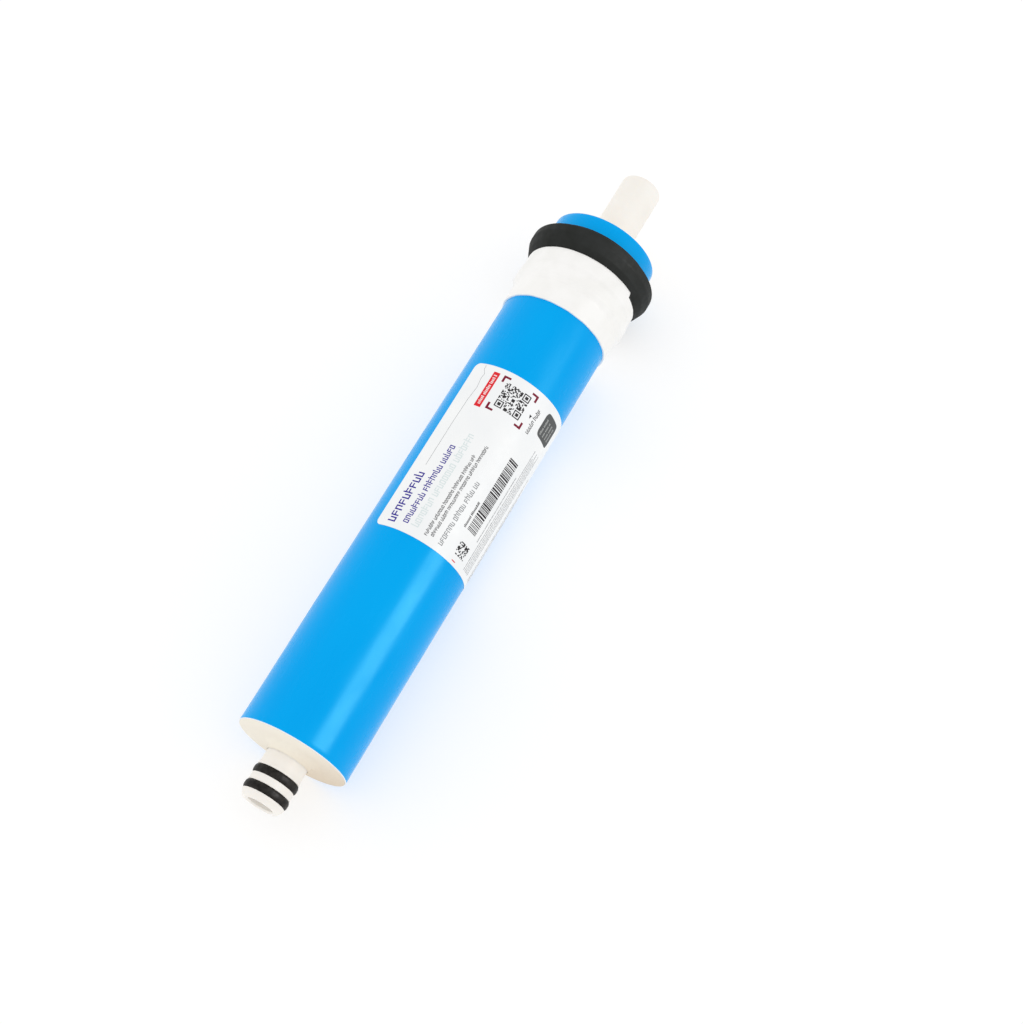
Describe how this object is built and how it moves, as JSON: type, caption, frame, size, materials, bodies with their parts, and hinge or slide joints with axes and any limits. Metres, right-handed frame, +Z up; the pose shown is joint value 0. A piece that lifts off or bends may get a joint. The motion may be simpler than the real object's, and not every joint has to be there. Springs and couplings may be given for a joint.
{
  "type": "reverse osmosis membrane element",
  "caption": "Spiral-wound membrane roll in a blue wrap on a permeate tube, with an O-ring spigot, a plain stub and a lip seal.",
  "frame": {"origin": "on the ground plane, under the middle of the element's length", "axes": "+Z up; the element lies on its side along X with the plain stub at +X and the O-ring spigot at -X; its axis rises 1.2 degrees towards the stub, because it rests on the seal's lip and on the roll's rim"},
  "size_m": [0.2982, 0.0542, 0.0543],
  "materials": {
    "tube": "satin",
    "oring": "satin",
    "carrier": "knitted",
    "glue": "gloss",
    "membrane": "matte",
    "spacer": "net",
    "wrap": "satin film",
    "label": "satin film",
    "seal": "satin",
    "tape": "satin film"
  },
  "bodies": {
    "root": {"permeate_tube": "tube", "outer_oring": "oring", "inner_oring": "oring", "permeate_carrier": "carrier", "tail_glue_line": "glue", "membrane_leaf": "membrane", "feed_spacer": "spacer", "outer_wrap": "wrap", "label": "label", "brine_seal": "seal", "seal_tape": "tape"}
  },
  "joints": []
}
